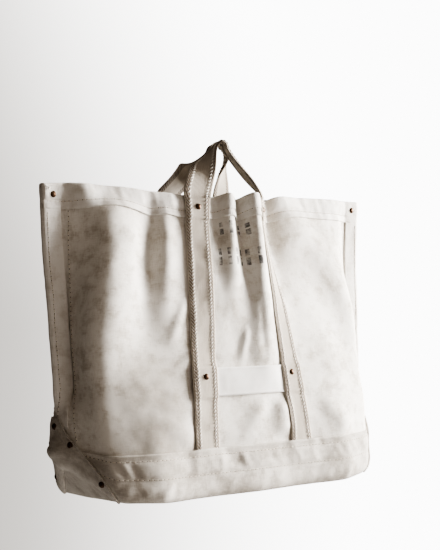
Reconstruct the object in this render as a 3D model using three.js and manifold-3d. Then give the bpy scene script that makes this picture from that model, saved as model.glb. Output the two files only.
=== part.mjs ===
// A canvas carrying sack that hangs from a hook by two short webbing handles.
// Millimetres, +Z up, +X along the width, the front faces -Y. The origin is the hook point: the underside
// of the two handles where a hook lifts them. Everything else hangs below it.
//
// The sack is an open box of flat canvas. Its two panels lean together towards the mouth and are bound
// together in a flat fin at each end. Every layer of cloth is an offset of one outline, so the layers stay
// parallel with a small gap between them. Straps, strip and ears are cut out of whole layers.
import * as THREE from "three";
import { mergeVertices } from "three/addons/utils/BufferGeometryUtils.js";
import Module from "manifold-3d";

const wasm = await Module();
wasm.setup();

// ---- Overall size ----
const HEM_Z = -77; // top edge of the mouth
const DEPTH = 388; // mouth edge down to the underside of the base
const BASE_Z = HEM_Z - DEPTH;
const END_X = { base: 254, top: 274 }; // half width at the end seams
const CORNER = { baseY: 78, topY: 11, topX: 190 }; // where the front turns into the end
const HALF_DEPTH = { base: 81, top: 33 }; // front wall's distance from the middle plane
const END_SLOPE = 0.46; // how far the end runs back for each millimetre towards the front
const CORNER_CUT = 8; // the soft corner is one flat chamfer

// ---- Cloth ----
const CANVAS = 1.6;
const WEBBING = 2.4;
const GAP = 0.4; // between stacked layers
const SEAM_GAP = 0.2; // each panel's distance from the middle plane in the sewn fin
const FIN = 28; // width of the flat end seam
const HEM_BAND = 27;
const BOOT_HEIGHT = 56;
const STRAP_WIDTH = 40;
const STRAP_X = { base: 85, top: 59 };
const STRIP = { low: 121, high: 158 }; // cross strip between the front straps, above the base
const BINDING_WIDTH = 24;
const EAR = { height: 104, topHalf: 10, baseHalf: 84, facet: 9 }; // patch up each end

// ---- Layers, measured outwards from a panel's inner face ----
const PANEL_LAYER = [0, CANVAS];
const SECOND_LAYER = [CANVAS + GAP, 2 * CANVAS + GAP];
const THIRD_LAYER = [2 * CANVAS + 2 * GAP, 3 * CANVAS + 2 * GAP];
const STRAP_LAYER = [THIRD_LAYER[0], THIRD_LAYER[0] + WEBBING];

// ---- Rivets: one turned piece with a domed head, a shank and a rolled tail ----
const RIVET = { head: 4.2, dome: 1.7, shank: 1.6, tail: 3.2, roll: 1.0, seat: 0.3 };
const DRILL = 2.0;
const ROUND_SIDES = 10;
const STRAP_RIVETS = { top: DEPTH - 13, low: 147 };
const MOUTH_RIVET = { drop: 10, inset: 14 };
const EAR_RIVETS = [
  { name: "top", along: 0, height: 92 },
  { name: "middle", along: 27, height: 64 },
  { name: "bottom", along: 67, height: 12 },
];

// ---- Handles ----
const HINGE_GAP = 0.6; // between a strap's end and the handle that carries on from it
const HANDLE_TOP_WIDTH = 26; // the webbing bunches on the hook
const HANDLE_TOP_Y = 14;
const HANDLE_STEPS = 24;

// Heights above the base that every layer of cloth shares. The cloth runs straight between them.
const LEVELS = [4, BOOT_HEIGHT, EAR.height, 126, 190, 260, 320, DEPTH - HEM_BAND, DEPTH];

const { lerp, smoothstep, clamp } = THREE.MathUtils;
const vector = (x, y) => new THREE.Vector2(x, y);
const outward = (a, b) => vector(b.y - a.y, a.x - b.x).normalize();

// Half of the front outline at one level, from the middle to the end seam.
function levelOutline(height) {
  const share = height / DEPTH;
  const wall = lerp(HALF_DEPTH.base, HALF_DEPTH.top, share);
  const end = lerp(END_X.base, END_X.top, share);
  const cornerY = lerp(CORNER.baseY, CORNER.topY, share);
  const boxed = end - (cornerY - EAR.facet) * END_SLOPE;
  const cornerX = lerp(boxed, CORNER.topX, smoothstep(height, EAR.height, DEPTH));
  const strapEdge = vector(lerp(STRAP_X.base, STRAP_X.top, share) + STRAP_WIDTH / 2 + 3, -wall);
  const corner = vector(cornerX, -cornerY);
  const fin = smoothstep(height, EAR.height, LEVELS[3]);
  const facet = vector(lerp(end, end - FIN, fin), lerp(-EAR.facet, -SEAM_GAP, fin));
  const before = strapEdge.clone().sub(corner).setLength(CORNER_CUT).add(corner);
  const after = facet.clone().sub(corner).setLength(CORNER_CUT).add(corner);
  return [vector(0, -wall), strapEdge, before, after, facet, vector(end, -SEAM_GAP)];
}

// The same outline at any height.
function outline(height) {
  const at = clamp(height, LEVELS[0], DEPTH);
  const above = Math.max(1, LEVELS.findIndex((level) => level >= at));
  const [low, high] = [LEVELS[above - 1], LEVELS[above]];
  const upper = levelOutline(high);
  return levelOutline(low).map((point, i) => point.lerp(upper[i], (at - low) / (high - low)));
}

// How far each outline point moves for one millimetre of offset.
function mitres(points) {
  return points.map((point, i) => {
    const before = i ? outward(points[i - 1], point) : vector(0, -1);
    if (i === points.length - 1) {
      return before;
    }
    const after = outward(point, points[i + 1]);
    return before.clone().add(after).divideScalar(1 + before.dot(after));
  });
}

function offsetOutline(height, offset) {
  const points = outline(height);
  const moves = mitres(points);
  return points.map((point, i) => point.clone().addScaledVector(moves[i], offset));
}

const mirrorX = (points) => points.map((p) => vector(-p.x, p.y)).reverse();
const mirrorY = (points) => points.map((p) => vector(p.x, -p.y)).reverse();

// The whole front, from the left end seam to the right one.
function frontLine(height, offset) {
  const half = offsetOutline(height, offset);
  return [...mirrorX(half.slice(1)), ...half];
}

// The whole right end, round both soft corners.
function endLine(height, offset) {
  const half = offsetOutline(height, offset).slice(2);
  return [...half, ...mirrorY(half)];
}

// The whole way round the sack, anticlockwise from above.
function ringLine(height, offset) {
  const front = frontLine(height, offset);
  return [...front, ...mirrorY(front)];
}

// ---- Solids ----
function solidOf(geometry) {
  const bare = geometry.index ? geometry.toNonIndexed() : geometry.clone();
  bare.deleteAttribute("normal");
  bare.deleteAttribute("uv");
  const merged = mergeVertices(bare, 1e-4);
  const vertProperties = new Float32Array(merged.attributes.position.array);
  const triVerts = new Uint32Array(merged.index.array);
  return new wasm.Manifold(new wasm.Mesh({ numProp: 3, vertProperties, triVerts }));
}

function geometryOf(solid) {
  const { vertProperties, triVerts } = solid.getMesh();
  const geometry = new THREE.BufferGeometry();
  geometry.setAttribute("position", new THREE.BufferAttribute(new Float32Array(vertProperties), 3));
  geometry.setIndex(new THREE.BufferAttribute(new Uint32Array(triVerts), 1));
  return geometry;
}

// Joins closed rings of points into one solid. Each four-sided face is split so that its diagonal
// climbs away from the middle of the sack. Mirrored faces and stacked layers then match.
function loft(rings, caps) {
  const count = rings[0].length;
  const points = rings.flat();
  const index = [];
  for (let level = 0; level < rings.length - 1; level++) {
    for (let i = 0; i < count; i++) {
      const a = level * count + i;
      const b = level * count + ((i + 1) % count);
      const [above, beyond] = [a + count, b + count];
      if (Math.abs(points[a].x) < Math.abs(points[b].x)) {
        index.push(a, b, beyond, a, beyond, above);
      } else {
        index.push(a, b, above, b, beyond, above);
      }
    }
  }
  const last = points.length - count;
  for (const [a, b, c] of caps) {
    index.push(a, c, b, last + a, last + b, last + c);
  }
  const geometry = new THREE.BufferGeometry();
  geometry.setAttribute("position", new THREE.Float32BufferAttribute(points.flatMap((p) => [...p]), 3));
  geometry.setIndex(index);
  return geometry;
}

const levelsFrom = (low, high) => [low, ...LEVELS.filter((level) => level > low && level < high), high];
const raised = (flat, height) => flat.map((p) => new THREE.Vector3(p.x, p.y, BASE_Z + height));

// A sheet of cloth between an inner and an outer offset of a line.
function sheet(line, low, high, [inner, outer]) {
  const section = (height) => [...line(height, outer), ...line(height, inner).reverse()];
  const rings = levelsFrom(low, high).map((height) => raised(section(height), height));
  const count = rings[0].length;
  const caps = [];
  for (let i = 0; i < count / 2 - 1; i++) {
    caps.push([i, i + 1, count - 2 - i], [i, count - 2 - i, count - 1 - i]);
  }
  return loft(rings, caps);
}

// A filled outline, run between heights.
function block(heights, offset) {
  const flat = ringLine(LEVELS[0], offset).map((p) => vector(p.x, p.y));
  const caps = THREE.ShapeUtils.triangulateShape(flat, []);
  return loft(heights.map((height) => raised(ringLine(height, offset), height)), caps);
}

// A flat shape, drawn as a distance across and a height above the base, pushed through the sack.
function cutter(points) {
  const shape = new THREE.Shape(points.map(([across, height]) => vector(across, BASE_Z + height)));
  const geometry = new THREE.ExtrudeGeometry(shape, { depth: 400, bevelEnabled: false });
  return geometry.rotateX(Math.PI / 2);
}

const cut = (geometry, shape) => geometryOf(solidOf(geometry).intersect(solidOf(shape)));

function strapGeometry() {
  const low = BOOT_HEIGHT + GAP;
  const middle = (height) => lerp(STRAP_X.base, STRAP_X.top, height / DEPTH);
  const edge = (height, side) => [middle(height) + (side * STRAP_WIDTH) / 2, height];
  const shape = cutter([edge(low, -1), edge(low, 1), edge(DEPTH, 1), edge(DEPTH, -1)]);
  return cut(sheet(frontLine, low, DEPTH, STRAP_LAYER), shape);
}

function stripGeometry() {
  const edge = (height) => lerp(STRAP_X.base, STRAP_X.top, height / DEPTH) + STRAP_WIDTH / 2;
  const [low, high] = [edge(STRIP.low), edge(STRIP.high)];
  const corners = [[-low, STRIP.low], [low, STRIP.low], [high, STRIP.high], [-high, STRIP.high]];
  return cut(sheet(frontLine, STRIP.low, STRIP.high, SECOND_LAYER), cutter(corners));
}

function earGeometry() {
  const { height, topHalf, baseHalf } = EAR;
  const corners = [[-baseHalf, 1], [baseHalf, 1], [topHalf, height], [-topHalf, height]];
  return cut(sheet(endLine, 1, height, THIRD_LAYER), cutter(corners).rotateZ(Math.PI / 2));
}

function bindingGeometry() {
  const [inner, outer] = SECOND_LAYER.map((offset) => SEAM_GAP + offset);
  const line = (height, offset) => {
    const tip = outline(height).at(-1).x;
    const reach = tip + GAP + offset - inner;
    return [vector(tip - BINDING_WIDTH, -offset), vector(reach, -offset), vector(reach, offset),
      vector(tip - BINDING_WIDTH, offset)];
  };
  return sheet(line, LEVELS[3], DEPTH - HEM_BAND - GAP, [inner, outer]);
}

function bootGeometry() {
  const outside = block([0, LEVELS[0], BOOT_HEIGHT], SECOND_LAYER[1]);
  const inside = block([CANVAS, LEVELS[0], BOOT_HEIGHT, BOOT_HEIGHT + 1], SECOND_LAYER[0]);
  return geometryOf(solidOf(outside).subtract(solidOf(inside)));
}

// ---- Handles: webbing swept from one strap end, over the hook, to the other ----
function handleGeometry() {
  const strapY = -(HALF_DEPTH.top + (STRAP_LAYER[0] + STRAP_LAYER[1]) / 2);
  const start = HEM_Z + HINGE_GAP;
  const leg = [
    [STRAP_X.top, strapY, start],
    [STRAP_X.top - 1.5, strapY + 0.6, start + 9],
    [STRAP_X.top - 13, strapY + 9, start + 35],
    [29, -HANDLE_TOP_Y - 6, -19],
    [12, -HANDLE_TOP_Y, -2],
  ];
  const left = leg.map(([x, y, z]) => new THREE.Vector3(-x, y, z));
  const right = leg.map(([x, y, z]) => new THREE.Vector3(x, y, z)).reverse();
  const crown = new THREE.Vector3(0, -HANDLE_TOP_Y, WEBBING / 2);
  const path = new THREE.CatmullRomCurve3([...left, crown, ...right], false, "centripetal");
  const rings = [];
  for (let step = 0; step <= HANDLE_STEPS; step++) {
    const share = step / HANDLE_STEPS;
    const ends = step === 0 || step === HANDLE_STEPS;
    const turn = Math.PI * smoothstep(share, 0.04, 0.96);
    const along = ends ? new THREE.Vector3(0, 0, step ? -1 : 1) : path.getTangentAt(share);
    const across = new THREE.Vector3(Math.cos(turn), -Math.sin(turn), 0);
    across.addScaledVector(along, -across.dot(along)).normalize();
    const up = new THREE.Vector3().crossVectors(across, along);
    const half = lerp(STRAP_WIDTH, HANDLE_TOP_WIDTH, Math.sin(turn)) / 2;
    const corner = (a, b) => path.getPointAt(share).addScaledVector(across, a).addScaledVector(up, b);
    const thin = WEBBING / 2;
    rings.push([corner(-half, -thin), corner(-half, thin), corner(half, thin), corner(half, -thin)]);
  }
  return loft(rings, [[0, 1, 2], [0, 2, 3]]);
}

// ---- Rivets ----
function rivetGeometry(inner, outer) {
  const tail = inner - RIVET.seat;
  const seat = outer + RIVET.seat;
  const profile = [
    [0, tail - RIVET.roll * 0.5],
    [RIVET.tail * 0.6, tail - RIVET.roll],
    [RIVET.tail, tail],
    [RIVET.shank, tail],
    [RIVET.shank, seat],
    [RIVET.head, seat],
    [RIVET.head * 0.8, seat + RIVET.dome * 0.75],
    [0, seat + RIVET.dome],
  ];
  return new THREE.LatheGeometry(profile.map(([r, y]) => vector(r, y)), ROUND_SIDES);
}

// A rivet's place: a point on the panel's inner face and the direction out of the cloth.
function seatOn(height, across, pointAt) {
  const [here, above] = [pointAt(height), pointAt(height + 1)];
  const point = new THREE.Vector3(here.x, here.y, BASE_Z + height);
  const up = new THREE.Vector3(above.x - here.x, above.y - here.y, 1);
  return { point, axis: across.clone().cross(up).normalize() };
}

function strapSeat(height) {
  const middle = (at) => vector(lerp(STRAP_X.base, STRAP_X.top, at / DEPTH), outline(at)[0].y);
  return seatOn(height, new THREE.Vector3(1, 0, 0), middle);
}

function earSeat({ along, height }) {
  if (along === 0) {
    return seatOn(height, new THREE.Vector3(0, 1, 0), (at) => vector(outline(at)[5].x, 0));
  }
  const [corner, facet] = outline(height).slice(3);
  const across = new THREE.Vector3(facet.x - corner.x, facet.y - corner.y, 0);
  return seatOn(height, across, (at) => {
    const [start, end] = outline(at).slice(3);
    return start.clone().sub(end).setLength(along - EAR.facet).add(end);
  });
}

function mouthSeat() {
  const point = new THREE.Vector3(END_X.top - MOUTH_RIVET.inset, 0, HEM_Z - MOUTH_RIVET.drop);
  return { point, axis: new THREE.Vector3(0, -1, 0) };
}

// ---- Looks ----
const cloth = (color) => new THREE.MeshStandardMaterial({ color, roughness: 0.95, metalness: 0 });
const CANVAS_LOOK = cloth(0xd8cfc0);
const HEM_LOOK = cloth(0xd5cbba);
const BOOT_LOOK = cloth(0xd2c9bb);
const WEBBING_LOOK = cloth(0xc9bba6);
const STRIP_LOOK = cloth(0xe2dcd2);
const RIVET_LOOK = new THREE.MeshStandardMaterial({ color: 0x33241a, roughness: 0.5, metalness: 0.85 });

// ---- Assembly ----
const sack = new THREE.Group();
const MIRROR = {
  back: new THREE.Matrix4().makeScale(1, -1, 1),
  left: new THREE.Matrix4().makeScale(-1, 1, 1),
};

function mirrored(geometry, sides) {
  const copy = geometry.clone();
  sides.forEach((side) => copy.applyMatrix4(MIRROR[side]));
  if (sides.length % 2) {
    const turned = copy.index.array;
    for (let i = 0; i < turned.length; i += 3) {
      [turned[i + 1], turned[i + 2]] = [turned[i + 2], turned[i + 1]];
    }
  }
  return copy;
}

const pieces = new Map();
function add(name, geometry, look) {
  const mesh = new THREE.Mesh(geometry, look);
  mesh.name = name;
  pieces.set(name, mesh);
  sack.add(mesh);
}

// The words of a place that mean a mirrored copy. The first of everything is at the front right.
const flips = (...words) => words.filter((word) => word in MIRROR);

const wall = sheet(frontLine, LEVELS[0], DEPTH, PANEL_LAYER);
const hem = sheet(frontLine, DEPTH - HEM_BAND, DEPTH, SECOND_LAYER);
const strap = strapGeometry();
const handle = handleGeometry();
const binding = bindingGeometry();
const ear = earGeometry();
add("floor_panel", block([CANVAS + GAP, 2 * CANVAS + GAP], CANVAS), CANVAS_LOOK);
add("boot", bootGeometry(), BOOT_LOOK);
add("cross_strip", stripGeometry(), STRIP_LOOK);
for (const face of ["front", "back"]) {
  add(`${face}_panel`, mirrored(wall, flips(face)), CANVAS_LOOK);
  add(`hem_${face}`, mirrored(hem, flips(face)), HEM_LOOK);
  for (const side of ["left", "right"]) {
    add(`strap_${face}_${side}`, mirrored(strap, flips(face, side)), WEBBING_LOOK);
  }
  add(`handle_${face}`, mirrored(handle, flips(face)), WEBBING_LOOK);
}
for (const side of ["left", "right"]) {
  add(`side_binding_${side}`, mirrored(binding, flips(side)), HEM_LOOK);
  add(`end_ear_${side}`, mirrored(ear, flips(side)), BOOT_LOOK);
}

// Sets one rivet, and drills every layer that it goes through.
function rivet(name, { point, axis }, sides, [inner, outer], layers) {
  const flip = new THREE.Matrix4();
  sides.forEach((side) => flip.premultiply(MIRROR[side]));
  const seat = point.clone().applyMatrix4(flip);
  const turn = new THREE.Quaternion().setFromUnitVectors(
    new THREE.Vector3(0, 1, 0),
    axis.clone().applyMatrix4(flip),
  );
  const place = (geometry) => geometry.applyQuaternion(turn).translate(seat.x, seat.y, seat.z);
  add(`rivet_${name}`, place(rivetGeometry(inner, outer)), RIVET_LOOK);
  const drill = solidOf(place(new THREE.CylinderGeometry(DRILL, DRILL, 30, ROUND_SIDES)));
  for (const layer of layers) {
    const mesh = pieces.get(layer);
    mesh.geometry = geometryOf(solidOf(mesh.geometry).subtract(drill));
  }
}

for (const face of ["front", "back"]) {
  for (const side of ["left", "right"]) {
    const [at, sides] = [`${face}_${side}`, flips(face, side)];
    const reach = [PANEL_LAYER[0], STRAP_LAYER[1]];
    const layers = [`${face}_panel`, `strap_${at}`];
    const strip = face === "front" ? ["cross_strip"] : [];
    rivet(`strap_top_${at}`, strapSeat(STRAP_RIVETS.top), sides, reach, [...layers, `hem_${face}`]);
    rivet(`strap_low_${at}`, strapSeat(STRAP_RIVETS.low), sides, reach, [...layers, ...strip]);
  }
}

for (const side of ["left", "right"]) {
  const hems = SECOND_LAYER[1] + SEAM_GAP;
  const joined = ["front_panel", "back_panel"];
  rivet(`mouth_${side}`, mouthSeat(), flips(side), [-hems, hems], [...joined, "hem_front", "hem_back"]);
  for (const spot of EAR_RIVETS) {
    const layers = [`end_ear_${side}`, ...(spot.height < BOOT_HEIGHT ? ["boot"] : [])];
    const reach = [PANEL_LAYER[0], THIRD_LAYER[1]];
    if (spot.along === 0) {
      rivet(`ear_${spot.name}_${side}`, earSeat(spot), flips(side), reach, [...layers, ...joined]);
      continue;
    }
    for (const face of ["front", "back"]) {
      const at = `${spot.name}_${face}_${side}`;
      rivet(`ear_${at}`, earSeat(spot), flips(face, side), reach, [...layers, `${face}_panel`]);
    }
  }
}

export default sack;
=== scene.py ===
# %% [markdown]
# # A canvas carrying sack
# The sack is an open box of heavy canvas that hangs from a hook by its two webbing handles. This lesson
# dresses a plain assembly in cloth. The plain assembly holds every size and every moving body, so each cloth
# piece is worked out from it; the rest ride on the bag, but the webbing and its stitches are not attached to
# a body.
#
# Cloth could be simulated, sculpted or worked out by a formula. Here one formula gives the place of every
# point of the canvas from where it lies in the flat pattern. Every layer, strap, thread and rivet asks the
# same formula, so they all follow the same folds.

# %% Load the frame
import math

import bmesh
import bpy
import numpy as np
from mathutils import Matrix, Vector


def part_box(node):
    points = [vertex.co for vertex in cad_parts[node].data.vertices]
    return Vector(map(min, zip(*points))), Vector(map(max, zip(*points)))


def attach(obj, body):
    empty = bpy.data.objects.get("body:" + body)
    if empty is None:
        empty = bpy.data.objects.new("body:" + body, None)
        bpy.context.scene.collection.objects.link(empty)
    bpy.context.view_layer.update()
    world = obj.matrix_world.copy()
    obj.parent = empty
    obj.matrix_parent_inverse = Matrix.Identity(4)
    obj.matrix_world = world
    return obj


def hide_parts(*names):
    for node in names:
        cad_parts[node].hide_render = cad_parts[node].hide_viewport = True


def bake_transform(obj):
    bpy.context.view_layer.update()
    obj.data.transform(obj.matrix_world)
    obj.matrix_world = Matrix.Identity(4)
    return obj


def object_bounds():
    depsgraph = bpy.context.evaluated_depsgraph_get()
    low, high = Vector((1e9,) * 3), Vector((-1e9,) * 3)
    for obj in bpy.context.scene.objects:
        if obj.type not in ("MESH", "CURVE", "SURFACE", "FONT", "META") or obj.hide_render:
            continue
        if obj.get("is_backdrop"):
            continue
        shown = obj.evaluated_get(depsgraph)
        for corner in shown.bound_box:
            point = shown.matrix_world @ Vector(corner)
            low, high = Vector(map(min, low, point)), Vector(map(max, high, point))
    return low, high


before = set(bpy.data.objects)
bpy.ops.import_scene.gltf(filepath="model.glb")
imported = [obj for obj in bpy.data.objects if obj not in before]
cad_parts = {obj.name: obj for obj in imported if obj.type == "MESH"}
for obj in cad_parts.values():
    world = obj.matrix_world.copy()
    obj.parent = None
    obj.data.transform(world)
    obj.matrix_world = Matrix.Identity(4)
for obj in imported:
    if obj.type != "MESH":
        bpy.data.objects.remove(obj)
CAD_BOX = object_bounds()
MM = 0.001

# %% Sizes that come from the frame
def corners(node):
    low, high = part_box(node)
    return np.array(low), np.array(high)


BASE_Z = corners("boot")[0][2]
MOUTH_Z = corners("hem_front")[1][2]
DEPTH = MOUTH_Z - BASE_Z
BOOT_TOP = corners("boot")[1][2] - BASE_Z
HEM_LOW = corners("hem_front")[0][2] - BASE_Z
EAR_TOP = corners("end_ear_left")[1][2] - BASE_Z
STRIP_LOW, STRIP_HIGH = (corners("cross_strip")[i][2] - BASE_Z for i in (0, 1))
TIP_TOP = corners("front_panel")[1][0]
TIP_BASE = corners("boot")[1][0] - 3 * MM
WALL_BASE = corners("boot")[1][1] - 3 * MM
WALL_TOP = corners("hem_back")[1][1] - 4 * MM
print(f"the sack is {DEPTH / MM:.0f} mm deep and {2 * TIP_TOP / MM:.0f} mm wide at the mouth")

# %% [markdown]
# ## The camera
# The picture is taken level, from the left of the front, so that the near end shows. A level camera with a
# little vertical shift keeps upright edges upright, as a view camera does. A small roll leans the sack.

# %% Camera
AZIMUTH, ROLL = math.radians(-38.4), math.radians(-1.19)
DISTANCE = 1.695
ASIDE, BELOW = 0.0079, 0.2443  # from the hook to the lens, square to the line of sight
LENS = 80.3  # on a film 36 mm high
RISE_OF_LENS = 0.0824  # in film heights

back = Vector((math.sin(AZIMUTH), -math.cos(AZIMUTH), 0))
level = Vector((math.cos(AZIMUTH), math.sin(AZIMUTH), 0))
right = level * math.cos(ROLL) + Vector((0, 0, 1)) * math.sin(ROLL)
up = Vector((0, 0, 1)) * math.cos(ROLL) - level * math.sin(ROLL)
lens = bpy.data.cameras.new("camera")
lens.lens = LENS
lens.sensor_width = 36
lens.shift_y = RISE_OF_LENS
lens.clip_end = 50
camera = bpy.data.objects.new("camera", lens)
place = back * DISTANCE + right * ASIDE - up * BELOW
camera.matrix_world = Matrix.Translation(place) @ Matrix((right, up, back)).transposed().to_4x4()
bpy.context.scene.collection.objects.link(camera)
bpy.context.scene.camera = camera
print("the camera stands at", [round(c, 3) for c in place])

# %% [markdown]
# ## The floor, the room and the light
# The room is plain and pale. One large soft window stands close on the right, so the cloth brightens towards
# it and every fold turns one white side and one shaded side. The room behind is a separate, brighter value,
# because a pale wall is seen but doesn't light the near side of the sack.

# %% Floor and lights
FLOOR_Z = -1.5
FLOOR_RADIUS = 2.6


def disc(name, radius, z, sides=96):
    angles = np.linspace(0, 2 * math.pi, sides, endpoint=False)
    mesh = bpy.data.meshes.new(name)
    ring = [(radius * math.cos(a), radius * math.sin(a), z) for a in angles]
    mesh.from_pydata(ring, [], [list(range(sides))])
    made = bpy.data.objects.new(name, mesh)
    bpy.context.scene.collection.objects.link(made)
    return made


def window(name, place, target, size, power, colour):
    light = bpy.data.lights.new(name, "AREA")
    light.shape = "RECTANGLE"
    light.size, light.size_y = size
    light.energy = power
    light.color = colour
    made = bpy.data.objects.new(name, light)
    made.location = place
    made.rotation_euler = (Vector(target) - Vector(place)).to_track_quat("-Z", "Y").to_euler()
    bpy.context.scene.collection.objects.link(made)
    print(name, power, "watts")


floor = disc("floor", FLOOR_RADIUS, FLOOR_Z)
floor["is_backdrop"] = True
plaster = bpy.data.materials.new("plaster")
plaster.use_nodes = True
surface = plaster.node_tree.nodes["Principled BSDF"].inputs
surface["Base Color"].default_value = (0.36, 0.35, 0.34, 1.0)
surface["Roughness"].default_value = 0.9
floor.data.materials.append(plaster)
MIDDLE = (0, 0, (BASE_Z + MOUTH_Z) / 2)
window("window", (3.00, -1.12, 0.35), MIDDLE, (1.1, 1.9), 515, (1.0, 0.985, 0.965))
window("ceiling", (0.9, -1.5, 1.5), MIDDLE, (1.6, 1.6), 6, (1.0, 0.96, 0.92))

# %% [markdown]
# ## Arithmetic on shader sockets
# A finish is a small sum: some noise, a mask, a mix of two colours. Written as nodes one by one it hides the
# sum, so one class wraps a socket and lets Python's own operators add the Math nodes.

# %% Signals and finishes
class Signal:
    """A node's output, for use in ordinary arithmetic."""

    def __init__(self, finish, socket):
        self.finish, self.socket = finish, socket

    def math(self, operation, *values):
        return self.finish.node("ShaderNodeMath", {"operation": operation}, dict(enumerate(values)))

    def __add__(self, other):
        return self.math("ADD", self, other)

    def __sub__(self, other):
        return self.math("SUBTRACT", self, other)

    def __rsub__(self, other):
        return self.math("SUBTRACT", other, self)

    def __mul__(self, other):
        return self.math("MULTIPLY", self, other)

    def __truediv__(self, other):
        return self.math("DIVIDE", self, other)

    __radd__ = __add__
    __rmul__ = __mul__

    def wave(self):
        return self.math("SINE", self)

    def size(self):
        return self.math("ABSOLUTE", self)

    def over(self, edge):
        return self.math("GREATER_THAN", self, edge)

    def ramp(self, low, high):
        """0 below low, 1 above high, and smooth between."""
        settings = {"interpolation_type": "SMOOTHSTEP"}
        inputs = {"Value": self, "From Min": low, "From Max": high}
        return self.finish.node("ShaderNodeMapRange", settings, inputs)


class Finish:
    """A material that is built from signals."""

    def __init__(self, name):
        self.material = bpy.data.materials.new(name)
        self.material.use_nodes = True
        self.tree = self.material.node_tree
        self.tree.nodes.clear()
        self.shader = self.tree.nodes.new("ShaderNodeBsdfPrincipled")
        end = self.tree.nodes.new("ShaderNodeOutputMaterial")
        self.tree.links.new(self.shader.outputs[0], end.inputs["Surface"])

    def node(self, kind, settings=None, inputs=None, output=0):
        made = self.tree.nodes.new(kind)
        for key, value in (settings or {}).items():
            setattr(made, key, value)
        for key, value in (inputs or {}).items():
            self.put(made.inputs[key], value)
        return Signal(self, made.outputs[output])

    def put(self, socket, value):
        if isinstance(value, Signal):
            self.tree.links.new(value.socket, socket)
        else:
            socket.default_value = value

    def set(self, **values):
        for key, value in values.items():
            self.put(self.shader.inputs[key.replace("_", " ")], value)

    def pattern(self):
        """Where a point lies in its flat piece, in metres: across, along."""
        spot = self.node("ShaderNodeAttribute", {"attribute_name": "pattern"}, output="Vector")
        return [self.node("ShaderNodeSeparateXYZ", None, {0: spot}, output=i) for i in (0, 1)]

    def vector(self, x, y, z=0.0):
        return self.node("ShaderNodeCombineXYZ", None, {0: x, 1: y, 2: z})

    def noise(self, where, scale, detail=3.0, roughness=0.55, seed=0.0):
        inputs = {"Vector": where, "W": seed, "Scale": scale, "Detail": detail, "Roughness": roughness}
        return self.node("ShaderNodeTexNoise", {"noise_dimensions": "4D"}, inputs)

    def mix(self, first, second, share):
        inputs = {0: share, 6: first, 7: second}
        return self.node("ShaderNodeMix", {"data_type": "RGBA"}, inputs, output=2)

    def bump(self, height, distance, strength=1.0):
        inputs = {"Height": height, "Distance": distance, "Strength": strength}
        return self.node("ShaderNodeBump", None, inputs)


def rgb(red, green, blue):
    return (red, green, blue, 1.0)


# %% Room light
def make_room():
    room = bpy.data.worlds.new("room")
    room.use_nodes = True
    tree = room.node_tree
    tree.nodes.clear()

    def add(kind, **links):
        made = tree.nodes.new(kind)
        for key, value in links.items():
            socket = made.inputs[int(key[1:])] if key[0] == "i" else made.inputs[key]
            if hasattr(value, "is_output"):
                tree.links.new(value, socket)
            else:
                socket.default_value = value
        return made

    where = add("ShaderNodeTexCoord").outputs["Generated"]
    towards_window = add("ShaderNodeVectorMath", i0=where, i1=(level.x, level.y, 0.0))
    towards_window.operation = "DOT_PRODUCT"
    height = add("ShaderNodeSeparateXYZ", i0=where).outputs["Z"]
    over = add("ShaderNodeMath", i0=height, i1=0.0)
    over.operation = "MAXIMUM"
    raised = add("ShaderNodeMath", i0=over.outputs[0], i1=0.33)
    raised.operation = "MULTIPLY"
    brighter = add("ShaderNodeMath", i0=towards_window.outputs["Value"], i1=raised.outputs[0])
    dim, full = -0.20, 0.13  # where the pale wall starts to brighten, and where it is brightest
    share = add("ShaderNodeMapRange", i0=brighter.outputs[0], i1=dim, i2=full)
    share.interpolation_type = "SMOOTHSTEP"
    wall = add("ShaderNodeMix", i0=share.outputs[0])
    wall.data_type = "RGBA"
    wall.inputs[6].default_value = rgb(0.70, 0.67, 0.63)
    wall.inputs[7].default_value = rgb(1.0, 1.0, 1.0)
    bright = add("ShaderNodeMapRange", i0=brighter.outputs[0], i1=dim, i2=full, i3=1.0, i4=3.6)
    bright.interpolation_type = "SMOOTHSTEP"
    seen = add("ShaderNodeBackground", i0=wall.outputs[2], i1=bright.outputs[0])
    towards = towards_window.outputs["Value"]
    glow = add("ShaderNodeMapRange", i0=towards, i1=-1.0, i2=1.0, i3=0.03, i4=0.30)
    lit = add("ShaderNodeBackground", i0=rgb(1.0, 0.83, 0.68), i1=glow.outputs[0])
    ray = add("ShaderNodeLightPath").outputs["Is Camera Ray"]
    both = add("ShaderNodeMixShader", i0=ray, i1=lit.outputs[0], i2=seen.outputs[0])
    add("ShaderNodeOutputWorld", i0=both.outputs[0])
    return room


bpy.context.scene.world = make_room()
bpy.context.scene.view_settings.view_transform = "AgX"
bpy.context.scene.view_settings.look = "AgX - High Contrast"

# %% [markdown]
# ## Where the canvas hangs
# A point of the canvas has two pattern measures: its distance along the panel from the middle, and its height
# above the base. A few guide points say how a level slice of the sack runs at any height: the wall, the
# strap, the corner, the start of the flat end seam and the tip. Between the guide points the slice is
# straight, and then it is smoothed, more in the loose upper cloth than at the stiff base.

# %% Level slices
HALF = 305 * MM  # from a panel's middle to its end seam, measured along the cloth
GUIDES = np.array([0, 60, 100, 158, 217, 277, 305]) * MM  # middle, strap edges, wing, corner, seam edge, tip
STEP = 2.5 * MM
LOW, HIGH = -14 * MM, DEPTH + 12 * MM
RING = np.arange(-HALF, 3 * HALF - STEP / 2, STEP)
RISE = np.arange(LOW, HIGH + STEP, STEP)


def mix(a, b, share):
    return a + (b - a) * share


def smooth(value, low, high):
    share = np.clip((value - low) / (high - low), 0, 1)
    return share * share * (3 - 2 * share)


def between(value, rise_from, rise_to, fall_from, fall_to):
    """1 in a band of values, with a smooth rise before it and a smooth fall after it."""
    return smooth(value, rise_from, rise_to) * (1 - smooth(value, fall_from, fall_to))


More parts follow.
